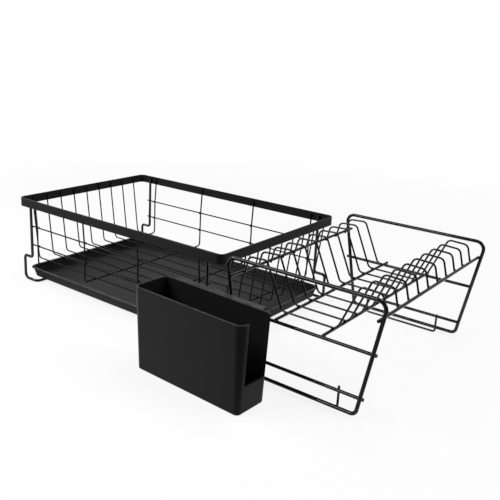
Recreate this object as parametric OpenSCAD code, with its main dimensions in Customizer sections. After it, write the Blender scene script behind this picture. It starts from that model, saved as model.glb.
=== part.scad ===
// Dish drying rack: a wire basket with a drip tray under it, a separate plate rack
// and a loose cutlery holder. The basket and the plate rack are welded from round wire.

/* [Basket] */
// Length of the basket over its rim band
basket_l = 434; // [350:1:530]
// Depth of the basket over its rim band
basket_w = 287; // [230:1:350]
// Height of the basket, from the ground to the top of the rim band
basket_h = 142.8; // [125:0.2:180]
// Height of the flat rim band
rim_h = 14; // [8:0.5:22]
// Thickness of the flat rim band
rim_t = 2; // [1:0.1:4]
// Outer radius of the band's four corners
rim_corner_r = 10; // [6:0.5:20]
// Distance from the top of the band down to the ends of the welded wires
wire_drop = 3; // [1:0.5:6]
// Height of the centre of the floor's cross wires above the ground
floor_z = 32.2; // [30:0.1:38]
// Depth that welded wires sink into each other
weld_sink = 0.1; // [0.05:0.01:0.15]

/* [Basket legs] */
// Diameter of the leg wire
leg_d = 4.6; // [3.5:0.1:5.6]
// Distance of the legs from the basket's ends
leg_inset = 26.5; // [20:0.5:40]
// Height of the knee where a leg steps outward
knee_z = 42.5; // [38:0.5:50]
// How far the legs step outward at the knee
knee_step = 20.5; // [18:0.5:26]
// How far the ground run lies inward of the stepped leg
ground_step = 31; // [24:0.5:40]
// How far a leg leans inward between its top and its knee
leg_lean = 0.4; // [0:0.1:1]

/* [Basket wires] */
// Number of wires that cross the basket's depth
cross_wires = 4; // [3:1:6]
// Distance from a leg to the nearest cross wire
cross_from_leg = 14.5; // [8:0.1:40]
// Diameter of the cross wires
cross_d = 2.5; // [2:0.1:3.2]
// Number of wires that run along the basket
long_wires = 9; // [5:1:11]
// Distance from the side of the basket's floor to the nearest of these wires
long_from_side = 21; // [10:0.1:30]
// Diameter of the wires that run along the basket
long_d = 2.2; // [1.8:0.1:3]
// How far these wires lean inward from the band to the floor
long_lean = 12.5; // [6:0.5:18]
// Bend radius of the basket's thin wires at its floor
wire_bend_r = 6; // [4:0.5:12]
// Radius of the slight bends in these wires below the band
wire_ease_r = 20; // [10:1:40]
// Diameter of the side rails
rail_d = 2.2; // [1.8:0.1:3]
// Height of the upper side rails
rail_upper_z = 95.7; // [85:0.1:100]
// Height of the lower side rails
rail_lower_z = 63.7; // [55:0.1:75]
// How far a rail runs past the centre of a leg
rail_end = 3.2; // [2.5:0.1:6]

/* [Drip tray] */
// Height of the tray from its underside to the top of its lip
tray_h = 17.5; // [12:0.5:21]
// Wall thickness of the tray
tray_t = 1.8; // [1.2:0.1:2.5]
// Gap between the tray's lip and each leg
tray_side_gap = 1.2; // [1:0.1:6]
// How far the tray's lip stays inside the basket's front and back
tray_inset_y = 7.5; // [5:0.5:20]
// Radius of the lip's corners
tray_corner_r = 15; // [12:0.5:25]
// How far the tray's walls lean outward
tray_draft = 4; // [2:0.5:6]
// Width of the outward lip
tray_lip = 3; // [2:0.5:5]
// Radius between the tray's floor and its walls
tray_floor_r = 3; // [2:0.5:4]
// Clearance between the tray and the wires that it rests on
rest_gap = 0.3; // [0.1:0.05:0.5]

/* [Plate rack] */
// Distance from the basket's rim band to the plate rack's side frames
rack_gap_x = 19.6; // [8:0.2:60]
// How far the plate rack stands forward of the basket's middle
rack_forward = 4.5; // [0:0.5:10]
// How much wider the frames stand than the basket is deep
rack_over_w = 19; // [10:0.5:40]
// Height of the plate rack
rack_h = 152.2; // [130:0.2:180]
// Length of a side frame at its top
rack_top_l = 219.6; // [180:0.1:260]
// How much shorter the side frame is at its foot
rack_taper = 52.4; // [20:0.2:70]
// Diameter of the side frame wire
frame_d = 4.8; // [4:0.1:6]
// Bend radius of the side frame's top corners
frame_top_r = 11; // [8:0.5:16]
// Bend radius of the side frame's bottom corners
frame_foot_r = 8; // [6:0.5:12]
// Gap between the ground and the side frame's bottom wire
frame_clear_z = 3; // [2:0.1:6]
// Diameter of the middle and lower bars
bar_d = 4.3; // [3.5:0.1:5]
// Height of the middle bars
mid_bar_z = 82.8; // [70:0.1:90]
// Height of the lower bars
low_bar_z = 24.7; // [20:0.1:32]
// How far bars and rods run past what they are welded to
rod_end = 3.2; // [2.5:0.1:5]
// Diameter of the rods that join the two side frames
rod_d = 4; // [3.2:0.1:4.6]
// Height of the upper rods
upper_rod_z = 126.5; // [112:0.1:130]
// Distance of the floor rods from the rack's middle
floor_rod_x = 33; // [25:0.5:36]
// Diameter of the U-shaped foot wires
foot_d = 3; // [2.4:0.1:3.6]
// Half the width of a foot wire
foot_x = 56.2; // [40:0.1:62]
// Bend radius of a foot wire
foot_bend_r = 4; // [3:0.5:6]

/* [Plate dividers] */
// Number of dividers
dividers = 10; // [6:1:12]
// Distance from a side frame to the nearest divider
divider_from_frame = 22.9; // [14:0.1:30]
// Diameter of the divider wire
divider_d = 2.6; // [2:0.1:3]
// Distance from the side frame's top corner to the outer corner of a divider's hump
hump_set_in = 17.3; // [14:0.1:22]
// Length of the hump's top
hump_l = 27.4; // [18:0.1:32]
// Height of the hump's inner corner, below the top of the rack
hump_in_drop = 2.7; // [2.5:0.1:6]
// Height of the hump's outer corner, below the top of the rack
hump_out_drop = 4.2; // [3:0.1:8]
// Distance from a floor rod to where the divider's slope meets its floor
divider_past_rod = 5.7; // [4.5:0.1:10]
// Bend radius of the dividers
divider_bend_r = 7; // [4:0.5:9]
// How far a divider's end reaches below the middle of the upper rod
divider_end = 1.8; // [1:0.1:6]

/* [Cutlery holder] */
// Length of the holder's base
holder_l = 168; // [110:0.2:200]
// Depth of the holder's base
holder_w = 49.8; // [36:0.2:70]
// Height of the holder
holder_h = 112.6; // [80:0.2:140]
// How far each wall leans outward from base to rim
holder_draft = 4; // [1:0.5:8]
// Wall thickness of the holder
holder_t = 2.5; // [1.8:0.1:3.5]
// Thickness of the holder's base
holder_base_t = 3; // [2:0.1:5]
// Radius of the holder's upright corners at its base
holder_corner_r = 6; // [5:0.5:12]
// Radius of the holder's bottom edge
holder_edge_r = 2; // [1:0.5:3]
// Height of the lower end of the slot in the end wall
slot_z = 34.5; // [20:0.5:60]
// Width of the end wall that stays beside the slot, at the front
slot_front = 13; // [10:0.5:18]
// Width of the end wall that stays beside the slot, at the back
slot_back = 5; // [4.5:0.1:10]
// Radius of the slot's lower corners
slot_r = 2; // [1:0.5:6]
// Diameter of the drain holes in the base
drain_d = 6; // [4:0.5:8]
// Distance between the drain holes along the base
drain_pitch = 28; // [16:1:30]
// Distance between the two rows of drain holes
drain_row_gap = 16; // [12:1:24]
// Gap inside the hook on the holder's back, which hangs over a rim or a bar
hook_gap = 6.5; // [5:0.1:9]
// Thickness of the hook
hook_t = 2.2; // [1.6:0.1:3]
// How far the hook reaches down
hook_drop = 13; // [9:0.5:20]
// Distance from the holder's ends to the ends of the hook
hook_inset = 17; // [13:0.5:40]
// Distance of the holder's rim from the basket's front
holder_gap_y = 44.6; // [25:0.1:90]
// How far the holder's middle stands past the basket's end
holder_past_x = 28.5; // [-80:0.5:80]
// How far the holder is turned out of line with the basket, in degrees
holder_turn = -2.4; // [-8:0.1:8]

/* [Hidden] */
$fn = 48;

wire_colour = [0.05, 0.05, 0.05];
band_colour = [0.14, 0.14, 0.14];
tray_colour = [0.2, 0.2, 0.2];
holder_colour = [0.15, 0.15, 0.15];

// An elbow is this much thicker than the wire, and the straight runs reach this far into it
elbow_over = 0.04;
elbow_lap = 0.12;

// Free ends of wires and rods are eased by this much
end_ease = 0.4;

// Basket, measured from its own middle
band_in_x = basket_l / 2 - rim_t;
band_in_y = basket_w / 2 - rim_t;
band_low_z = basket_h - rim_h;
band_edge_r = 0.4;
wire_top_z = basket_h - wire_drop;
lean_z = band_low_z - 2;
leg_x = basket_l / 2 - leg_inset;
leg_top_y = band_in_y - leg_d / 2 + weld_sink;
leg_low_y = leg_top_y - leg_lean;
leg_out_x = leg_x + knee_step;
ground_x = leg_out_x - ground_step;
leg_knee_r = 5;
leg_ground_r = 8;

// The rails lie on the legs' inner faces, and the cross wires stand outside the rails
function leg_y(z) = leg_top_y - leg_lean * (wire_top_z - z) / (wire_top_z - knee_z);
function rail_y(z) = leg_y(z) - (leg_d + rail_d) / 2 + weld_sink;
function cross_y(z) = rail_y(z) + (rail_d + cross_d) / 2 - weld_sink;

cross_top_y = band_in_y - cross_d / 2 + weld_sink;
cross_pitch = 2 * (leg_x - cross_from_leg) / (cross_wires - 1);
long_top_x = band_in_x - long_d / 2 + weld_sink;
long_low_x = long_top_x - long_lean;
long_z = floor_z + (cross_d + long_d) / 2 - weld_sink;
long_pitch = 2 * (cross_y(floor_z) - long_from_side) / (long_wires - 1);

// Drip tray
tray_z = leg_d + elbow_over + rest_gap;
tray_l = 2 * (leg_out_x - leg_d / 2 - tray_side_gap);
tray_w = basket_w - 2 * tray_inset_y;
tray_lean = 15;

// Plate rack, measured from its own middle
frame_y = (basket_w + rack_over_w) / 2;
frame_top_z = rack_h - frame_d / 2;
frame_low_z = frame_clear_z + frame_d / 2;
frame_slope = atan(rack_taper / 2 / (frame_top_z - frame_low_z));
frame_corner = frame_top_r * (tan(frame_slope) + 1 / cos(frame_slope) - 1);
frame_top_x = (rack_top_l - frame_d) / 2 + frame_corner;
frame_low_x = frame_top_x - rack_taper / 2;

// Middle line of a side frame's leg at a height
function frame_x(z) =
    frame_low_x + (frame_top_x - frame_low_x) * (z - frame_low_z) / (frame_top_z - frame_low_z);

bar_y = frame_y - (frame_d + bar_d) / 2 + weld_sink;
foot_y = bar_y - (bar_d + foot_d) / 2 + weld_sink;
upper_rod_x = frame_x(upper_rod_z) - ((frame_d + rod_d) / 2 - weld_sink) / cos(frame_slope);
floor_rod_z = mid_bar_z + (bar_d + rod_d) / 2 - weld_sink;
divider_floor_z = floor_rod_z + (rod_d + divider_d) / 2 - weld_sink;
divider_floor_x = floor_rod_x + divider_past_rod;
divider_pitch = 2 * (frame_y - divider_from_frame) / (dividers - 1);
hump_out_x = frame_top_x - hump_set_in;
hump_in_x = hump_out_x - hump_l;
hump_out_z = rack_h - hump_out_drop;
hump_in_z = rack_h - hump_in_drop;
divider_rod_x = upper_rod_x - ((rod_d + divider_d) / 2 - weld_sink) / cos(frame_slope);
divider_end_z = upper_rod_z - divider_end;
divider_end_x = divider_rod_x + (divider_rod_x - hump_out_x) * divider_end / (hump_out_z - upper_rod_z);
foot_over_bar = 2;
rack_x = basket_l / 2 + rack_gap_x + rack_top_l / 2;
rack_y = -rack_forward;

// Cutlery holder, measured from the middle of its base
holder_x = basket_l / 2 + holder_past_x;
holder_y = -basket_w / 2 - holder_gap_y - holder_draft - holder_w / 2;
holder_top_r = holder_corner_r + holder_draft;
holder_half_x = holder_l / 2 + holder_draft;
holder_wall_y = holder_w / 2 + holder_draft;
hook_bend_r = 2;
drain_columns = 5;
cut_over = 1;

// The whole object's bounds put its origin at the bottom, in the middle
left_edge = -max(basket_l / 2, leg_out_x + leg_d / 2);
holder_reach_x = holder_top_r + (holder_half_x - holder_top_r) * cos(holder_turn)
    + (holder_wall_y - holder_top_r) * abs(sin(holder_turn));
right_edge = max(rack_x + rack_top_l / 2, holder_x + holder_reach_x);
holder_reach_y = holder_top_r + (holder_wall_y - holder_top_r) * cos(holder_turn)
    + (holder_half_x - holder_top_r) * abs(sin(holder_turn));
front_edge = min(holder_y - holder_reach_y, rack_y - frame_y - rod_end);
back_edge = max(basket_w / 2, rack_y + frame_y + rod_end);
middle_x = (left_edge + right_edge) / 2;
middle_y = (front_edge + back_edge) / 2;

module basket_frame() {
    translate([-middle_x, -middle_y, 0])
        children();
}

module rack_frame() {
    translate([rack_x - middle_x, rack_y - middle_y, 0])
        children();
}

module holder_frame() {
    translate([holder_x - middle_x, holder_y - middle_y, 0])
        rotate(holder_turn)
            children();
}

// Bent wire: straight runs between corner points, with an elbow at each corner
function unit(v) = v / norm(v);
function turn(a, b) = acos(max(-1, min(1, unit(a) * unit(b))));

// Straight run of wire. Its free ends are eased
module rod(from, to, d, free_from = false, free_to = false) {
    z = unit(to - from);
    x = unit(cross(abs(z[2]) > 0.9 ? [1, 0, 0] : [0, 0, 1], z));
    y = cross(z, x);
    h = norm(to - from);
    r = d / 2;
    multmatrix([
        [x[0], y[0], z[0], from[0]],
        [x[1], y[1], z[1], from[1]],
        [x[2], y[2], z[2], from[2]],
        [0, 0, 0, 1],
    ])
        rotate_extrude()
            polygon(concat(
                [[0, 0]],
                free_from ? [[r - end_ease, 0], [r, end_ease]] : [[r, 0]],
                free_to ? [[r, h - end_ease], [r - end_ease, h]] : [[r, h]],
                [[0, h]]
            ));
}

// Quarter or part turn of wire about the corner, from direction u into direction v
module elbow(corner, u, v, r, d) {
    angle = turn(u, v);
    centre = corner + unit(v - u) * r / cos(angle / 2);
    x = unit(corner - u * r * tan(angle / 2) - centre);
    z = cross(x, u);
    multmatrix([
        [x[0], u[0], z[0], centre[0]],
        [x[1], u[1], z[1], centre[1]],
        [x[2], u[2], z[2], centre[2]],
        [0, 0, 0, 1],
    ])
        rotate_extrude(angle = angle)
            translate([r, 0])
                circle(d = d + elbow_over);
}

// radii has one bend radius per point, and the end points of an open wire have none
module wire(points, radii, d, closed = false) {
    n = len(points);
    runs = closed ? n : n - 1;
    way = [for (i = [0:runs - 1]) unit(points[(i + 1) % n] - points[i])];
    bends = closed ? [0:n - 1] : [1:n - 2];
    cut = [
        for (i = [0:n - 1])
            !closed && (i == 0 || i == n - 1)
                ? 0
                : radii[i] * tan(turn(way[(i + runs - 1) % runs], way[i % runs]) / 2) - elbow_lap
    ];
    for (i = [0:runs - 1])
        rod(
            points[i] + way[i] * cut[i],
            points[(i + 1) % n] - way[i] * cut[(i + 1) % n],
            d,
            free_from = !closed && i == 0,
            free_to = !closed && i == runs - 1
        );
    for (i = bends)
        elbow(points[i], way[(i + runs - 1) % runs], way[i], radii[i], d);
}

function mirrored_x(points) = [for (i = [len(points) - 1:-1:0]) [-points[i][0], points[i][1], points[i][2]]];
function mirrored_y(points) = [for (i = [len(points) - 1:-1:0]) [points[i][0], -points[i][1], points[i][2]]];

// Round arc of points in a profile
function arc(x, y, r, from, to, steps) =
    [for (i = [0:steps]) let (a = from + (to - from) * i / steps) [x + r * cos(a), y + r * sin(a)]];

// Carries a wall's profile round a rectangle with round corners. The profile's x is
// measured outward from the corners' centres, so it ends at the corner radius
module round_ring(l, w, r) {
    x = l / 2 - r;
    y = w / 2 - r;
    for (half = [0, 180])
        rotate(half) {
            translate([x, y, 0])
                rotate([90, 0, 0])
                    linear_extrude(2 * y)
                        children();
            translate([-x, y, 0])
                rotate([90, 0, 90])
                    linear_extrude(2 * x)
                        children();
            translate([x, y, 0])
                rotate_extrude(angle = 90)
                    children();
            translate([-x, y, 0])
                rotate(90)
                    rotate_extrude(angle = 90)
                        children();
        }
}

// Basket
module rim_band() {
    outer = rim_corner_r;
    inner = rim_corner_r - rim_t;
    color(band_colour)
        basket_frame()
            round_ring(basket_l, basket_w, rim_corner_r)
                polygon([
                    [inner, band_low_z + band_edge_r],
                    [inner + band_edge_r, band_low_z],
                    [outer - band_edge_r, band_low_z],
                    [outer, band_low_z + band_edge_r],
                    [outer, basket_h - band_edge_r],
                    [outer - band_edge_r, basket_h],
                    [inner + band_edge_r, basket_h],
                    [inner, basket_h - band_edge_r],
                ]);
}

// One wire makes both legs of an end: down from the band, out at the knee, down, in
// along the ground, under the tray to the back, and up again
module leg_hoop(side) {
    ground_z = (leg_d + elbow_over) / 2;
    front = [
        [side * leg_x, -leg_top_y, wire_top_z],
        [side * leg_x, -leg_low_y, knee_z],
        [side * leg_out_x, -leg_low_y, knee_z],
        [side * leg_out_x, -leg_low_y, ground_z],
        [side * ground_x, -leg_low_y, ground_z],
    ];
    radii = [0, leg_knee_r, leg_knee_r, leg_ground_r, leg_ground_r];
    color(wire_colour)
        basket_frame()
            wire(concat(front, mirrored_y(front)), concat(radii, [for (i = [4:-1:0]) radii[i]]), leg_d);
}

// U-shaped wire across the basket: it carries the floor and the rails
module cross_wire(i) {
    x = (i - (cross_wires + 1) / 2) * cross_pitch;
    front = [
        [x, -cross_top_y, wire_top_z],
        [x, -cross_top_y, lean_z],
        [x, -cross_y(rail_upper_z), rail_upper_z],
        [x, -cross_y(floor_z), floor_z],
    ];
    radii = [0, wire_ease_r, wire_ease_r, wire_bend_r];
    color(wire_colour)
        basket_frame()
            wire(concat(front, mirrored_y(front)), concat(radii, [for (k = [3:-1:0]) radii[k]]), cross_d);
}

// Wire along the basket: it lies on the cross wires and rises inside the band's ends
module long_wire(i) {
    y = ((long_wires + 1) / 2 - i) * long_pitch;
    left = [
        [-long_top_x, y, wire_top_z],
        [-long_top_x, y, lean_z],
        [-long_low_x, y, long_z],
    ];
    radii = [0, wire_ease_r, wire_bend_r];
    color(wire_colour)
        basket_frame()
            wire(concat(left, mirrored_x(left)), concat(radii, [for (k = [2:-1:0]) radii[k]]), long_d);
}

module side_rail(side, z) {
    x = leg_x + rail_end;
    y = side * rail_y(z);
    color(wire_colour)
        basket_frame()
            rod([-x, y, z], [x, y, z], rail_d, true, true);
}

// Drip tray
module drip_tray() {
    lip_r = tray_t / 2;
    edge = tray_corner_r - tray_lip;
    foot = edge - tray_draft;
    lip_z = tray_h - tray_t;
    profile = concat(
        [[0, 0]],
        arc(foot - tray_floor_r, tray_floor_r, tray_floor_r, -90, -tray_lean, 5),
        [[edge, lip_z - lip_r], [edge + lip_r / 2, lip_z]],
        arc(tray_corner_r - lip_r, tray_h - lip_r, lip_r, -90, 90, 6),
        [[edge - tray_t + lip_r, tray_h], [edge - tray_t, tray_h - lip_r]],
        arc(foot - tray_floor_r, tray_floor_r, tray_floor_r - tray_t, -tray_lean, -90, 5),
        [[0, tray_t]]
    );
    color(tray_colour)
        basket_frame()
            translate([0, 0, tray_z]) {
                round_ring(tray_l, tray_w, tray_corner_r)
                    polygon(profile);
                translate([-(tray_l / 2 - tray_corner_r), -(tray_w / 2 - tray_corner_r), 0])
                    cube([tray_l - 2 * tray_corner_r, tray_w - 2 * tray_corner_r, tray_t]);
            }
}

// Plate rack
module side_loop(side) {
    y = side * frame_y;
    color(wire_colour)
        rack_frame()
            wire(
                [
                    [-frame_low_x, y, frame_low_z],
                    [frame_low_x, y, frame_low_z],
                    [frame_top_x, y, frame_top_z],
                    [-frame_top_x, y, frame_top_z],
                ],
                [frame_foot_r, frame_foot_r, frame_top_r, frame_top_r],
                frame_d,
                closed = true
            );
}

// Straight bar on the inner face of a side frame
module side_bar(side, z) {
    x = frame_x(z) + rod_end;
    color(wire_colour)
        rack_frame()
            rod([-x, side * bar_y, z], [x, side * bar_y, z], bar_d, true, true);
}

// U-shaped wire on the inner face of a lower bar: the plate rack stands on two of these
module foot_wire(side) {
    y = side * foot_y;
    top_z = low_bar_z + bar_d / 2 + foot_over_bar;
    ground_z = (foot_d + elbow_over) / 2;
    color(wire_colour)
        rack_frame()
            wire(
                [
                    [-foot_x, y, top_z],
                    [-foot_x, y, ground_z],
                    [foot_x, y, ground_z],
                    [foot_x, y, top_z],
                ],
                [0, foot_bend_r, foot_bend_r, 0],
                foot_d
            );
}

// Rod on the inner side of both side frames' legs
module upper_rod(side) {
    x = side * upper_rod_x;
    y = frame_y + rod_end;
    color(wire_colour)
        rack_frame()
            rod([x, -y, upper_rod_z], [x, y, upper_rod_z], rod_d, true, true);
}

// Rod on top of both middle bars, under the dividers' floor
module floor_rod(side) {
    x = side * floor_rod_x;
    y = bar_y + rod_end;
    color(wire_colour)
        rack_frame()
            rod([x, -y, floor_rod_z], [x, y, floor_rod_z], rod_d, true, true);
}

// Wire between two plates: up from one upper rod over a hump, down to the floor rods,
// and up over the other hump to the other upper rod
module divider(i) {
    y = (i - (dividers + 1) / 2) * divider_pitch;
    left = [
        [-divider_end_x, y, divider_end_z],
        [-hump_out_x, y, hump_out_z],
        [-hump_in_x, y, hump_in_z],
        [-divider_floor_x, y, divider_floor_z],
    ];
    radii = [0, divider_bend_r, divider_bend_r, divider_bend_r];
    color(wire_colour)
        rack_frame()
            wire(concat(left, mirrored_x(left)), concat(radii, [for (k = [3:-1:0]) radii[k]]), divider_d);
}

// Cutlery holder: a tapered box whose corners widen with its walls
module holder_shell() {
    rim_r = holder_t / 2;
    edge_r = holder_edge_r;
    inner_z = holder_base_t + edge_r;
    inner_x = holder_corner_r + holder_draft * inner_z / holder_h - holder_t;
    round_ring(holder_l, holder_w, holder_corner_r)
        polygon(concat(
            [[0, 0]],
            arc(holder_corner_r - edge_r, edge_r, edge_r, -90, -2, 5),
            arc(holder_top_r - rim_r, holder_h - rim_r, rim_r, 0, 180, 8),
            arc(inner_x - edge_r, inner_z, edge_r, 0, -90, 5),
            [[0, holder_base_t]]
        ));
    l = holder_l - 2 * holder_corner_r;
    w = holder_w - 2 * holder_corner_r;
    translate([-l / 2, -w / 2, 0])
        cube([l, w, holder_base_t]);
}

// Slot down one end wall, open at the rim
module holder_slot() {
    front = slot_front - holder_wall_y;
    back = holder_wall_y - slot_back;
    translate([holder_l / 2 - holder_corner_r, 0, 0])
        rotate([90, 0, 90])
            linear_extrude(holder_corner_r + holder_draft + cut_over)
                polygon(concat(
                    [[back, holder_h + cut_over], [front, holder_h + cut_over]],
                    arc(front + slot_r, slot_z + slot_r, slot_r, 180, 270, 6),
                    arc(back - slot_r, slot_z + slot_r, slot_r, 270, 360, 6)
                ));
}

// Hook along the back wall's rim: out over the band that it hangs on, and down
module holder_hook() {
    root = holder_wall_y - holder_t / 2;
    out = holder_wall_y + hook_gap + hook_t;
    under = holder_h - hook_t;
    low = holder_h - hook_drop;
    l = holder_l + 2 * holder_draft - 2 * hook_inset;
    translate([-l / 2, 0, 0])
        rotate([90, 0, 90])
            linear_extrude(l)
                polygon(concat(
                    [[root, under], [out - hook_t, under], [out - hook_t, low]],
                    arc(out - hook_t / 2, low, hook_t / 2, 180, 360, 8),
                    arc(out - hook_bend_r, holder_h - hook_bend_r, hook_bend_r, 0, 90, 6),
                    [[root, holder_h]]
                ));
}

module cutlery_holder() {
    color(holder_colour)
        holder_frame()
            difference() {
                union() {
                    holder_shell();
                    holder_hook();
                }
                holder_slot();
                for (i = [1:drain_columns], row = [-0.5, 0.5])
                    translate([(i - (drain_columns + 1) / 2) * drain_pitch, row * drain_row_gap, -cut_over])
                        cylinder(h = holder_base_t + 2 * cut_over, d = drain_d);
            }
}

rim_band();
leg_hoop(-1);  // left_leg_hoop
leg_hoop(1);  // right_leg_hoop
for (i = [1:cross_wires])
    cross_wire(i);
for (i = [1:long_wires])
    long_wire(i);
side_rail(-1, rail_upper_z);  // front_upper_rail
side_rail(-1, rail_lower_z);  // front_lower_rail
side_rail(1, rail_upper_z);  // back_upper_rail
side_rail(1, rail_lower_z);  // back_lower_rail
drip_tray();
cutlery_holder();
side_loop(-1);  // front_side_loop
side_loop(1);  // back_side_loop
side_bar(-1, mid_bar_z);  // front_mid_bar
side_bar(1, mid_bar_z);  // back_mid_bar
side_bar(-1, low_bar_z);  // front_lower_bar
side_bar(1, low_bar_z);  // back_lower_bar
foot_wire(-1);  // front_foot_wire
foot_wire(1);  // back_foot_wire
upper_rod(-1);  // left_upper_rod
upper_rod(1);  // right_upper_rod
floor_rod(-1);  // left_floor_rod
floor_rod(1);  // right_floor_rod
for (i = [1:dividers])
    divider(i);
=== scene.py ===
# %% [markdown]
# # Dish drying rack
# A welded wire basket with a drip tray, a plate rack of bent wire and a loose cutlery holder, all
# black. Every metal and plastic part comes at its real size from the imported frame, so this script
# adds what the eye reads next: the camera, the light, the coatings with their grain and wear, and
# the small weld beads that hold the wires together. Lengths are in metres.

# %% Load the frame
import math

import bpy
import numpy as np
from mathutils import Matrix, Vector


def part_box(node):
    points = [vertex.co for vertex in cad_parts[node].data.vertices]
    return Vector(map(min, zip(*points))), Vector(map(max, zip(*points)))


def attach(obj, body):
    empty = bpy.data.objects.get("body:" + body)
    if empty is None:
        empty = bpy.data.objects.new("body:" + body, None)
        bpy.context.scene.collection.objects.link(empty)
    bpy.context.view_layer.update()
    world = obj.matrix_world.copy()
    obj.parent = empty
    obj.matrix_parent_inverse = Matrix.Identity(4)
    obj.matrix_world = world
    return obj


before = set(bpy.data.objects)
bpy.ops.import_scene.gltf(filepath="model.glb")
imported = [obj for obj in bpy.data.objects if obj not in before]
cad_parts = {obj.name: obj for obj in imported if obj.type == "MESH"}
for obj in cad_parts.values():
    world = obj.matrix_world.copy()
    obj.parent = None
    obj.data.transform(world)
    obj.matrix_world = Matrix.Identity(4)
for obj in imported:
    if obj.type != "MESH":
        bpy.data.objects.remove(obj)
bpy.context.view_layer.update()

# %% [markdown]
# ## Camera
# The view is that of a person who stands before the worktop's right front corner. A camera can be
# aimed by a target and a track constraint, but an exact view is easier to state as three turns: how
# far round, how far up, and the slight roll of a hand-held shot. They give the directions that are
# right, up and back for the camera, and its matrix is made of those.

# %% Camera
band_low, band_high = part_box("rim_band")
basket_middle = (band_low + band_high) / 2
basket_middle.z = 0
eye = basket_middle + Vector((0.7367, -0.8042, 0.4185))
azimuth, elevation, roll = (math.radians(angle) for angle in (38.0, 15.24, 2.38))

room_side = Vector((math.sin(azimuth), -math.cos(azimuth), 0))
back = room_side * math.cos(elevation) + Vector((0, 0, math.sin(elevation)))
right = Vector((0, 0, 1)).cross(back).normalized()
up = back.cross(right)
turned_right = right * math.cos(roll) + up * math.sin(roll)
turned_up = up * math.cos(roll) - right * math.sin(roll)
facing = Matrix((turned_right, turned_up, back)).transposed().to_4x4()

camera = bpy.data.objects.new("camera", bpy.data.cameras.new("camera"))
bpy.context.scene.collection.objects.link(camera)
camera.matrix_world = Matrix.Translation(eye) @ facing
camera.data.sensor_width = 36
camera.data.lens = 49.53
camera.data.shift_x, camera.data.shift_y = 0.049, -0.059
camera.data.clip_start, camera.data.clip_end = 0.01, 50
bpy.context.scene.camera = camera
bpy.context.scene.view_settings.view_transform = "Standard"
print("camera stands", round((eye - basket_middle).length, 3), "m from the basket")

# %% [markdown]
# ## Floor and light
# A black thing is drawn by what it mirrors, so what stands round it matters as much as the lamps.
# White paper hangs behind the object and runs forward under it, and the room in front of it is dim.
# The world, the paper and all coatings are built from nodes, and a few helpers keep that short.

# %% Node helpers
def node(tree, kind, **settings):
    """Adds one node of that kind and sets its properties."""
    made = tree.nodes.new(kind)
    for name, value in settings.items():
        setattr(made, name, value)
    return made


def feed(tree, source, target):
    """Links an output socket to an input socket, or sets the input to a plain value."""
    if isinstance(source, bpy.types.NodeSocket):
        tree.links.new(source, target)
    else:
        target.default_value = source


def maths(tree, operation, a, b=0.0):
    """One Math node. Returns its output."""
    made = node(tree, "ShaderNodeMath", operation=operation)
    feed(tree, a, made.inputs[0])
    feed(tree, b, made.inputs[1])
    return made.outputs[0]


def ramp(tree, value, start, end, low=0.0, high=1.0):
    """Turns smoothly from low to high while the value goes from start to end."""
    made = node(tree, "ShaderNodeMapRange", interpolation_type="SMOOTHSTEP")
    given = {"Value": value, "From Min": start, "From Max": end, "To Min": low, "To Max": high}
    for label, source in given.items():
        feed(tree, source, made.inputs[label])
    return made.outputs["Result"]


def object_place(tree):
    """Where a point of the surface is. A piece's object sits at the origin, so it is in metres."""
    return node(tree, "ShaderNodeTexCoord").outputs["Object"]


# %% [markdown]
# ### World
# The world is the hanging paper and the room. The camera sees it white all round. A coating that
# mirrors it finds white only behind the object and a dim room elsewhere, so that faces which look
# into the room stay black. Nothing finds it darker than a low even fill. A ring of lamps and
# screens could do this too, but one background with a soft edge keeps their shapes out of the
# wires.

# %% What a ray finds
def white_seen(tree, place, room_way, start, end, room_level):
    """How white a ray finds the set: 1 from the camera, 0 for the rays that carry light. A ray from
    a reflection or glass finds it white behind the object. Along room_way that white falls to
    room_level between start and end."""
    path = node(tree, "ShaderNodeLightPath")
    glossy, through = path.outputs["Is Glossy Ray"], path.outputs["Is Transmission Ray"]
    forward = node(tree, "ShaderNodeVectorMath", operation="DOT_PRODUCT")
    feed(tree, place, forward.inputs[0])
    feed(tree, room_way, forward.inputs[1])
    white = ramp(tree, forward.outputs["Value"], start, end, 1.0, room_level)
    mirrored = maths(tree, "MULTIPLY", maths(tree, "MAXIMUM", glossy, through), white)
    return maths(tree, "MAXIMUM", path.outputs["Is Camera Ray"], mirrored)


# %% World
world = bpy.data.worlds.new("studio")
bpy.context.scene.world = world
world.use_nodes = True
tree = world.node_tree
tree.nodes.clear()
white_until, dim_from = -0.9, -0.3  # cosines of the angle between a ray and the room's side
dim_room, fill_level = 0.08, 0.1
ray_way = node(tree, "ShaderNodeTexCoord").outputs["Generated"]
seen = white_seen(tree, ray_way, room_side, white_until, dim_from, dim_room)
backdrop = node(tree, "ShaderNodeBackground")
backdrop.inputs["Color"].default_value = (1, 1, 1, 1)
feed(tree, maths(tree, "MAXIMUM", seen, fill_level), backdrop.inputs["Strength"])
feed(tree, backdrop.outputs[0], node(tree, "ShaderNodeOutputWorld").inputs["Surface"])
print("the world's fill is", fill_level)

# %% [markdown]
# ### Floor
# The paper under the object mixes two things. Most of it glows plain white to the camera and to
# mirrors, and a small share is lit paper, which keeps the object's shadow. Far out there is no
# shadow to keep, so it is all plain there. For mirrors its white ends softly about the cutlery
# holder, and the floor before that is as dim as the room. Rays that carry light find the paper
# greyer than it looks, or it would throw too much light up at the black parts.

# %% Floor
floor_half = 6.0
floor_mesh = bpy.data.meshes.new("floor")
floor_corners = [(-1, -1), (1, -1), (1, 1), (-1, 1)]
floor_places = [(x * floor_half, y * floor_half, 0) for x, y in floor_corners]
floor_mesh.from_pydata(floor_places, [], [(0, 1, 2, 3)])
floor = bpy.data.objects.new("floor", floor_mesh)
bpy.context.scene.collection.objects.link(floor)

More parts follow.
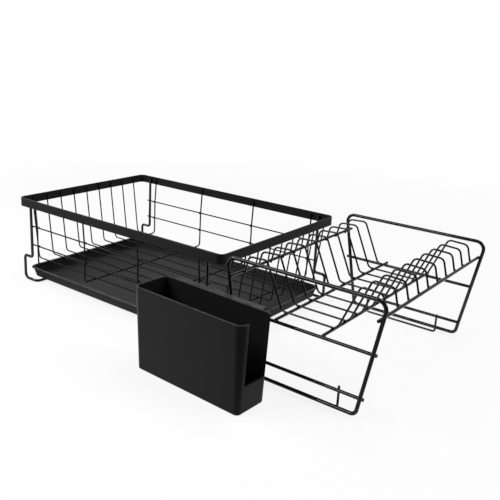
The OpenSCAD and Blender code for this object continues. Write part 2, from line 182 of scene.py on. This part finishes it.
# %% White paper
paper = bpy.data.materials.new("white paper")
paper.use_nodes = True
tree = paper.node_tree
tree.nodes.clear()
place = object_place(tree)

edge_turn = math.radians(50)
edge_way = (math.sin(edge_turn), -math.cos(edge_turn), 0)
edge_start, edge_end = 0.2, 0.38
dim_floor = 0.05
seen = white_seen(tree, place, edge_way, edge_start, edge_end, dim_floor)

paper_white, paper_as_light = 0.97, 0.32
matte = node(tree, "ShaderNodeBsdfDiffuse")
whiter = maths(tree, "MULTIPLY", seen, paper_white - paper_as_light)
feed(tree, maths(tree, "ADD", whiter, paper_as_light), matte.inputs["Color"])

shadow_share, shadow_until, plain_from = 0.15, 0.5, 1.6
away = node(tree, "ShaderNodeVectorMath", operation="LENGTH")
feed(tree, place, away.inputs[0])
plain = ramp(tree, away.outputs["Value"], shadow_until, plain_from, low=1 - shadow_share)
glow = node(tree, "ShaderNodeEmission")
glow.inputs["Color"].default_value = (1, 1, 1, 1)
mix = node(tree, "ShaderNodeMixShader")
feed(tree, maths(tree, "MULTIPLY", seen, plain), mix.inputs[0])
feed(tree, matte.outputs[0], mix.inputs[1])
feed(tree, glow.outputs[0], mix.inputs[2])
feed(tree, mix.outputs[0], node(tree, "ShaderNodeOutputMaterial").inputs["Surface"])
floor_mesh.materials.append(paper)
print("floor", 2 * floor_half, "m across, lit paper for a share of", shadow_share)

# %% [markdown]
# ### Lamps
# A long narrow soft box stands on the left, where the wires mirror it to the camera, so that they
# carry a thin line of light. A smaller one on the right lights the faces that look that way, and a
# broad lamp overhead lights the tray. Spots are easier to aim, but they leave hard dots on bends.

# %% Lamps
def softbox(name, place, target, width, height, radiance):
    """A flat lamp at place that faces target. Its power is pi times its area times its radiance."""
    lamp = bpy.data.lights.new(name, "AREA")
    lamp.shape, lamp.size, lamp.size_y = "RECTANGLE", width, height
    lamp.energy = math.pi * width * height * radiance
    stand = bpy.data.objects.new(name, lamp)
    bpy.context.scene.collection.objects.link(stand)
    aim = (Vector(target) - Vector(place)).to_track_quat("-Z", "Y")
    stand.matrix_world = Matrix.LocRotScale(Vector(place), aim, None)
    print(name, round(lamp.energy, 1), "W")


softbox(
    "overhead lamp", place=(0.35, 0.3, 1.5), target=(0.05, 0, 0),
    width=0.9, height=0.6, radiance=5,
)
softbox(
    "left lamp", place=(-1.05, -1.1, 1.2), target=(0, 0, 0.05),
    width=1.8, height=0.22, radiance=24.5,
)
softbox(
    "right lamp", place=(1.6, 0.5, 0.9), target=(0, 0, 0.05),
    width=0.7, height=0.35, radiance=11,
)

# %% [markdown]
# ## Coatings
# Baked powder and moulded plastic are slightly uneven, and they wear where hands and plates touch
# them; along some edges that paler wear is also a painted highlight. Each of these effects is one
# node group, built once and placed in every finish with its own values. They read Object
# coordinates, so the grain keeps its real size on every part.

# %% Shared node pieces
def new_group(name, inputs, outputs):
    """A shader node group with plain number sockets. Returns its tree, the values that it is given
    and the sockets for what it makes."""
    made = bpy.data.node_groups.new(name, "ShaderNodeTree")
    for label, default in inputs:
        socket = made.interface.new_socket(
            name=label, in_out="INPUT", socket_type="NodeSocketFloat"
        )
        socket.default_value = default
    for label in outputs:
        made.interface.new_socket(name=label, in_out="OUTPUT", socket_type="NodeSocketFloat")
    print("group", name)
    return made, node(made, "NodeGroupInput").outputs, node(made, "NodeGroupOutput").inputs


def place_group(tree, group, **values):
    """Places a group in a material. Underscores in a value's name stand for spaces."""
    made = node(tree, "ShaderNodeGroup", node_tree=group)
    for label, value in values.items():
        feed(tree, value, made.inputs[label.replace("_", " ")])
    return made.outputs


def noise(tree, place, scale, detail=2):
    """Soft noise from 0 to 1, with scale lumps to the metre."""
    made = node(tree, "ShaderNodeTexNoise")
    feed(tree, place, made.inputs["Vector"])
    feed(tree, scale, made.inputs["Scale"])
    made.inputs["Detail"].default_value = detail
    return made.outputs["Fac"]


def split(tree, vector):
    """The x, y and z of a vector."""
    parts = node(tree, "ShaderNodeSeparateXYZ")
    feed(tree, vector, parts.inputs[0])
    return parts.outputs


def upward(tree):
    """How far the surface faces up: 1 on a level top, 0 on an upright wall, -1 on an underside."""
    return split(tree, node(tree, "ShaderNodeTexCoord").outputs["Normal"])["Z"]


# %% [markdown]
# Powder coat flows a little before it sets, which leaves a fine orange peel, and a mould is etched
# with a similar fine grain. Under both lies a slow drift of tone and gloss over a few centimetres.

# %% Group: grain and drift
grain, given, made = new_group(
    "grain and drift",
    [("Grain per metre", 1500), ("Drift per metre", 30), ("Drift", 0.2)],
    ["Height", "Tone"],
)
place = object_place(grain)
feed(grain, noise(grain, place, given["Grain per metre"]), made["Height"])
swing = maths(grain, "SUBTRACT", noise(grain, place, given["Drift per metre"], detail=3), 0.5)
drift = maths(grain, "MULTIPLY", swing, given["Drift"])
feed(grain, maths(grain, "ADD", drift, 1.0), made["Tone"])

# %% [markdown]
# Edges meet everything that is put in or taken out, so they are polished and a little paler, and
# that paler grey is also a painted highlight along each edge. Each such edge here runs level, so
# its height
# alone finds it on a part: the mask is 1 at that height, falls to 0 within the reach, and is broken
# up by noise.

# %% Group: edge wear and painted highlight
edge_wear_and_highlight, given, made = new_group(
    "edge wear and painted highlight",
    [("Edge height", 0.1), ("Reach", 0.001), ("Breakup per metre", 120)],
    ["Mask"],
)
noise_low, noise_high, least_wear = 0.3, 0.6, 0.35
place = object_place(edge_wear_and_highlight)
above = maths(edge_wear_and_highlight, "SUBTRACT", split(edge_wear_and_highlight, place)["Z"], given["Edge height"])
near = ramp(edge_wear_and_highlight, maths(edge_wear_and_highlight, "ABSOLUTE", above), given["Reach"], 0.0)
breakup = noise(edge_wear_and_highlight, place, given["Breakup per metre"], detail=3)
patchy = ramp(edge_wear_and_highlight, breakup, noise_low, noise_high, low=least_wear)
feed(edge_wear_and_highlight, maths(edge_wear_and_highlight, "MULTIPLY", near, patchy), made["Mask"])

# %% [markdown]
# Plates and cutlery slide over the tops of things and rub the coating there, in patches. The mask
# takes the part of the surface that faces up and breaks it with noise.

# %% Group: rubbed tops
rubbed, given, made = new_group(
    "rubbed tops",
    [("Facing", 0.6), ("Breakup per metre", 60)],
    ["Mask"],
)
noise_low, noise_high = 0.4, 0.65
faces_up = ramp(rubbed, upward(rubbed), given["Facing"], 1.0)
breakup = noise(rubbed, object_place(rubbed), given["Breakup per metre"], detail=3)
patchy = ramp(rubbed, breakup, noise_low, noise_high)
feed(rubbed, maths(rubbed, "MULTIPLY", faces_up, patchy), made["Mask"])

# %% [markdown]
# Every finish is then the same few steps: the tone drifts, the worn places are paler and have a
# gloss of their own, with the paler grey on edges a painted highlight as well, and the grain lies
# in the surface as a bump. What differs is the values, and where the wear and painted highlight
# are.
# All the finishes are plain blacks, so each colour is one number, its grey.

# %% Finish maker
def start_finish(name, specular):
    """A new material. Returns it with its tree and its shader."""
    finish = bpy.data.materials.new(name)
    finish.use_nodes = True
    shader = finish.node_tree.nodes["Principled BSDF"]
    shader.inputs["Specular IOR Level"].default_value = specular
    print("finish", name)
    return finish, finish.node_tree, shader


def coat(tree, shader, skin, wear_and_highlight, grey, wear_and_highlight_grey, roughness, worn_roughness, relief, shade=1.0):
    """Grey and roughness go from fresh to worn by the wear_and_highlight mask, which on edges
    paints a highlight as well as wear, times the drift in tone. The shade multiplies the grey
    alone, and is painted shade and light where it is given; relief is the height of the grain."""
    fresh_colour, wear_and_highlight_colour, mixed_colour = 6, 7, 2  # the Mix node's sockets for colours
    blend = node(tree, "ShaderNodeMix", data_type="RGBA")
    feed(tree, wear_and_highlight, blend.inputs["Factor"])
    blend.inputs[fresh_colour].default_value = (grey, grey, grey, 1)
    blend.inputs[wear_and_highlight_colour].default_value = (wear_and_highlight_grey, wear_and_highlight_grey, wear_and_highlight_grey, 1)
    toned = node(tree, "ShaderNodeVectorMath", operation="SCALE")
    feed(tree, blend.outputs[mixed_colour], toned.inputs[0])
    feed(tree, maths(tree, "MULTIPLY", skin["Tone"], shade), toned.inputs["Scale"])
    feed(tree, toned.outputs[0], shader.inputs["Base Color"])
    change = maths(tree, "MULTIPLY", wear_and_highlight, worn_roughness - roughness)
    rough = maths(tree, "MULTIPLY", maths(tree, "ADD", change, roughness), skin["Tone"])
    feed(tree, rough, shader.inputs["Roughness"])
    bump = node(tree, "ShaderNodeBump")
    bump.inputs["Strength"].default_value = 1
    bump.inputs["Distance"].default_value = relief
    feed(tree, skin["Height"], bump.inputs["Height"])
    feed(tree, bump.outputs[0], shader.inputs["Normal"])


# %% [markdown]
# ### Coated wire
# Black powder coat on steel wire, rubbed on top, where plates stand on it. The thick wires have a
# glossy coat, with a sharp line of light along it. The basket's thin wires have a thinner and more
# matt one, because powder runs off a thin wire. The same steps make both finishes.

# %% Coated wire
def wire_coating(name, specular, grey, rubbed_grey, roughness):
    """A finish for wire, a little rougher where it is rubbed."""
    finish, tree, shader = start_finish(name, specular)
    skin = place_group(tree, grain, Grain_per_metre=1600.0, Drift_per_metre=35.0, Drift=0.3)
    # On the wires this mask is rubbed wear alone.
    wear_and_highlight = place_group(tree, rubbed, Facing=0.75, Breakup_per_metre=70.0)["Mask"]
    rubbed_roughness = roughness + 0.1
    coat(tree, shader, skin, wear_and_highlight, grey, rubbed_grey, roughness, rubbed_roughness, relief=2e-6)
    return finish


rack_wire = wire_coating(
    "coated rack wire", specular=0.4, grey=0.002, rubbed_grey=0.004, roughness=0.1
)
basket_wire = wire_coating(
    "coated basket wire", specular=0.12, grey=0.003, rubbed_grey=0.006, roughness=0.4
)

# %% [markdown]
# ### Coated band
# The same powder on the flat rim band, where it lies thicker, with more orange peel and less gloss
# than on the thick wires. The band's two edges are worn, and their paler grey is also a painted
# highlight.

# %% Coated band
band_finish, tree, shader = start_finish("coated band", specular=0.14)
skin = place_group(tree, grain, Grain_per_metre=1400.0, Drift_per_metre=25.0, Drift=0.25)
# Both edge masks are wear and a painted highlight: the paler grey stands in for light along the
# edges.
top_edge = place_group(
    tree, edge_wear_and_highlight, Edge_height=band_high.z, Reach=0.0012, Breakup_per_metre=90.0
)["Mask"]
low_edge = place_group(
    tree, edge_wear_and_highlight, Edge_height=band_low.z, Reach=0.0008, Breakup_per_metre=120.0
)["Mask"]
wear_and_highlight = maths(tree, "MAXIMUM", top_edge, low_edge)
coat(
    tree, shader, skin, wear_and_highlight, grey=0.011, wear_and_highlight_grey=0.022,
    roughness=0.55, worn_roughness=0.4, relief=5e-6,
)

# %% [markdown]
# ### Tray plastic
# The tray is moulded in a matt black plastic with an etched grain. Its walls are darkened by
# painted shade, and its floor carries a painted sheen, paler in the middle and darker towards the
# ends. Its lip is handled each time it is pulled out, and its paler grey there is also a painted
# highlight.

# %% Tray plastic
tray_low, tray_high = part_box("drip_tray")
tray_finish, tree, shader = start_finish("tray plastic", specular=0.12)
skin = place_group(tree, grain, Grain_per_metre=2200.0, Drift_per_metre=14.0, Drift=0.3)
# The lip's mask is wear and a painted highlight line along its top edge.
lip_wear_and_highlight = place_group(
    tree, edge_wear_and_highlight, Edge_height=tray_high.z, Reach=0.001, Breakup_per_metre=60.0
)["Mask"]

# Painted shade: the walls are darkened to wall_shade, and the level floor keeps its grey.
wall_shade, level_from = 0.55, 0.85
painted_wall_shade = ramp(tree, upward(tree), level_from, 1.0, low=wall_shade)
# Painted light: the floor is paler in its middle and darker towards its two ends.
middle_shade, end_shade, middle_until, end_from = 1.35, 0.7, 0.05, 0.18
along = split(tree, object_place(tree))["X"]
from_middle = maths(tree, "SUBTRACT", along, (tray_low.x + tray_high.x) / 2)
from_middle = maths(tree, "ABSOLUTE", from_middle)
painted_middle_light = ramp(tree, from_middle, middle_until, end_from, middle_shade, end_shade)
# Painted shade and light together, lifted to full grey where the lip's mask is.
painted_shade_and_light = maths(tree, "MAXIMUM", maths(tree, "MULTIPLY", painted_wall_shade, painted_middle_light), lip_wear_and_highlight)
coat(
    tree, shader, skin, lip_wear_and_highlight, grey=0.027, wear_and_highlight_grey=0.055,
    roughness=0.6, worn_roughness=0.42, relief=7e-6, shade=painted_shade_and_light,
)

# %% [markdown]
# ### Holder plastic
# The cutlery holder is moulded in a smoother grade of a deeper black, so its faces show the white
# paper that lies before them, and its round corner, which looks into the dim room, stays black. Its
# rim is polished by knives and forks, and its paler grey there is also a painted highlight.

# %% Holder plastic
holder_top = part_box("cutlery_holder")[1].z
holder_finish, tree, shader = start_finish("holder plastic", specular=0.1)
skin = place_group(tree, grain, Grain_per_metre=2600.0, Drift_per_metre=18.0, Drift=0.15)
# The rim's mask is wear and a painted highlight: its paler grey stands in for the light the rim
# catches.
rim_wear_and_highlight = place_group(tree, edge_wear_and_highlight, Edge_height=holder_top, Reach=0.002, Breakup_per_metre=80.0)["Mask"]
coat(
    tree, shader, skin, rim_wear_and_highlight, grey=0.012, wear_and_highlight_grey=0.045,
    roughness=0.36, worn_roughness=0.32, relief=6e-6,
)

# %% [markdown]
# ### A finish for each part
# A part's name says what it is, so it can also pick the finish. The basket's floor wires and rails
# are the thin wires. Its leg hoops and the whole plate rack take the finish for thick ones. Only
# the material in a part's slot is new: its mesh stays as it came.

# %% Give each part its finish
own_finish = {"rim_band": band_finish, "drip_tray": tray_finish, "cutlery_holder": holder_finish}
thin_wires = [
    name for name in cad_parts
    if name.startswith(("cross_wire", "long_wire")) or name.endswith("rail")
]
for name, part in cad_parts.items():
    wire = basket_wire if name in thin_wires else rack_wire
    part.data.materials.clear()
    part.data.materials.append(own_finish.get(name, wire))
thick_count = len(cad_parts) - len(thin_wires) - len(own_finish)
print(len(thin_wires), "thin wires and", thick_count, "thick ones")

# %% [markdown]
# ## Weld beads
# Each wire is spot welded to the next. The metal squeezes out a little at the joint and the powder
# rounds it off, so a small lump fills the corner between the two wires. It could be cut from a
# ball, but a lump that reaches a bit further along the wires looks more like a weld, and one grid
# of points gives them all.

# %% Bead surface
around, rings = 12, 4
south_pole, north_pole, bead_size = around * rings, around * rings + 1, around * rings + 2
arms, arm_reach = 4, 0.16


def bead_points(centres, sizes, axis):
    """Closed lumps, one for each centre, with their half sizes. In a lump's own measure a point is
    a direction, with its part across the axis times 1 + arm_reach * cos(arms * longitude) *
    cos(latitude) squared, so it reaches out in four ways round the axis."""
    latitude = np.linspace(-np.pi / 2, np.pi / 2, rings + 2)[1:-1, None]
    longitude = np.arange(around)[None, :] * 2 * np.pi / around
    arm = 1 + arm_reach * np.cos(arms * longitude) * np.cos(latitude) ** 2
    reach = np.cos(latitude) * arm
    height = np.sin(latitude) + 0 * longitude
    ring = np.stack([reach * np.cos(longitude), reach * np.sin(longitude), height], axis=-1)
    poles = [(0, 0, -1), (0, 0, 1)]
    bead = np.roll(np.concatenate([ring.reshape(-1, 3), poles]), axis + 1, axis=1)
    return centres[:, None, :] + bead[None, :, :] * sizes[:, None, :]


def bead_faces():
    """The faces of one lump: squares between each two rings and a fan of triangles at each pole."""
    step = np.arange(around)
    after = (step + 1) % around
    lower = np.arange(rings - 1)[:, None] * around
    upper = lower + around
    squares = np.stack([lower + step, lower + after, upper + after, upper + step], axis=-1)
    top = (rings - 1) * around
    south = np.stack([np.full(around, south_pole), after, step], axis=-1)
    north = np.stack([np.full(around, north_pole), top + step, top + after], axis=-1)
    return squares.reshape(-1, 4), np.concatenate([south, north])


# %% [markdown]
# All the beads of a body are one mesh, so they take one finish and ride together. They could be
# copies of one small object, but over a hundred of those would crowd every list.

# %% Bead piece
def bead_piece(name, body, finish, welds):
    """One mesh of all the beads on a body. A weld is its centre, its half sizes and the axis that
    it lies flat on."""
    squares, fans = bead_faces()
    points, faces = [], []
    for axis in range(3):
        chosen = [(centre, sizes) for centre, sizes, flat_on in welds if flat_on == axis]
        if chosen:
            centres, sizes = (np.array(column, dtype=float) for column in zip(*chosen))
            first = sum(len(block) for block in points)
            start = first + np.arange(len(chosen))[:, None, None] * bead_size
            points.append(bead_points(centres, sizes, axis).reshape(-1, 3))
            faces += (squares + start).reshape(-1, 4).tolist()
            faces += (fans + start).reshape(-1, 3).tolist()
    mesh = bpy.data.meshes.new(name)
    mesh.from_pydata(np.concatenate(points), [], faces)
    mesh.polygons.foreach_set("use_smooth", np.ones(len(faces), dtype=bool))
    mesh.materials.append(finish)
    piece = bpy.data.objects.new(name, mesh)
    bpy.context.scene.collection.objects.link(piece)
    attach(piece, body)
    print(name, len(welds), "beads", len(faces), "faces")


# %% [markdown]
# The welds of the basket are where its own wires cross, so their places come from the boxes of
# those wires: the floor wires lie on the cross wires, the rails are welded to the cross wires and
# the legs, and every wire's top end is welded to the inside of the band.

# %% A weld and its place
side_x, side_y, side_z = 0, 1, 2
spread, thin = 0.0021, 0.0009  # a weld's half sizes, along the wires and from wire to wire
seam = 0.0042  # half the height of the weld at a wire's top end


def lump(x, y, z, flat_on, tall=None):
    """A weld at a place: as wide as it spreads, thin along the axis it lies flat on, and tall if
    asked."""
    sizes = [spread, spread, tall or spread]
    sizes[flat_on] = thin
    return (x, y, z), sizes, flat_on


def between(box, axis):
    """The middle of a part's box along an axis."""
    return (box[0][axis] + box[1][axis]) / 2


# %% Basket welds
cross_wires = [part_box(f"cross_wire_{i}") for i in range(1, 5)]
long_wires = [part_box(f"long_wire_{i}") for i in range(1, 10)]
rails = [
    (side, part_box(f"{side}_{level}_rail"))
    for side in ("front", "back") for level in ("upper", "lower")
]
rail_past_leg = 0.0032  # from a rail's end to the middle of its leg


def leg_places(rail):
    """The two places along a rail where it meets a leg."""
    return [rail[0].x + rail_past_leg, rail[1].x - rail_past_leg]


cross_low, cross_high = cross_wires[0]
cross_x = [between(wire, side_x) for wire in cross_wires]
floor_z = cross_low.z + (cross_high.x - cross_low.x)
end_z = cross_high.z - seam

basket_welds = [
    lump(x, between(wire, side_y), floor_z, side_z) for x in cross_x for wire in long_wires
]
for side, rail in rails:
    low, high = rail
    inner, outer = (high.y, low.y) if side == "front" else (low.y, high.y)
    rail_z = between(rail, side_z)
    basket_welds += [lump(x, inner, rail_z, side_y) for x in cross_x]
    basket_welds += [lump(x, outer, rail_z, side_y) for x in leg_places(rail)]
for x in cross_x + leg_places(rails[0][1]):
    basket_welds += [lump(x, y, end_z, side_y, seam) for y in (cross_low.y, cross_high.y)]
for low, high in long_wires:
    middle_y = (low.y + high.y) / 2
    basket_welds += [lump(x, middle_y, end_z, side_x, seam) for x in (low.x, high.x)]
bead_piece("basket_welds", "basket", basket_wire, basket_welds)

# %% [markdown]
# On the plate rack the dividers are welded to the two upper rods and the two floor rods, the floor
# rods lie on the middle bars, and the bars and the upper rods are welded to the insides of the two
# bent frames. The frame's sides slope, so the place of its wire at a height is found between two
# bars of known height.

# %% Plate rack welds: dividers
dividers = [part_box(f"divider_{i}") for i in range(1, 11)]
upper_rods = [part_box("left_upper_rod"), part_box("right_upper_rod")]
floor_rods = [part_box("left_floor_rod"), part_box("right_floor_rod")]
upper_rod_x = (upper_rods[0][1].x, upper_rods[1][0].x)
upper_rod_z = between(upper_rods[0], side_z)

rack_welds = []
for divider in dividers:
    y = between(divider, side_y)
    rack_welds += [lump(between(rod, side_x), y, rod[1].z, side_z) for rod in floor_rods]
    rack_welds += [lump(x, y, upper_rod_z, side_x) for x in upper_rod_x]

# %% Plate rack welds: frames
bar_past_frame = 0.0032  # from a bar's end to the middle of the frame's wire
for side in ("front", "back"):
    mid, low_bar, foot, loop = (
        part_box(f"{side}_{name}") for name in ("mid_bar", "lower_bar", "foot_wire", "side_loop")
    )
    mid_y, mid_z, low_z = between(mid, side_y), between(mid, side_z), between(low_bar, side_z)
    outer, inner = (mid[0].y, mid[1].y) if side == "front" else (mid[1].y, mid[0].y)
    rack_welds += [lump(between(rod, side_x), mid_y, mid[1].z, side_z) for rod in floor_rods]
    for bar in (mid, low_bar):
        ends = (bar[0].x + bar_past_frame, bar[1].x - bar_past_frame)
        rack_welds += [lump(x, outer, between(bar, side_z), side_y) for x in ends]
    foot_half = (foot[1].y - foot[0].y) / 2
    foot_x = (foot[0].x + foot_half, foot[1].x - foot_half)
    rack_welds += [lump(x, inner, low_z, side_y) for x in foot_x]
    slope = (low_bar[0].x - mid[0].x) / (mid_z - low_z)
    lean = slope * (upper_rod_z - mid_z)
    wire_half = (loop[1].y - loop[0].y) / 2
    rod_ends = (
        mid[0].x + bar_past_frame - lean + wire_half,
        mid[1].x - bar_past_frame + lean - wire_half,
    )
    rack_welds += [lump(x, between(loop, side_y), upper_rod_z, side_x) for x in rod_ends]
bead_piece("rack_welds", "plate_rack", rack_wire, rack_welds)
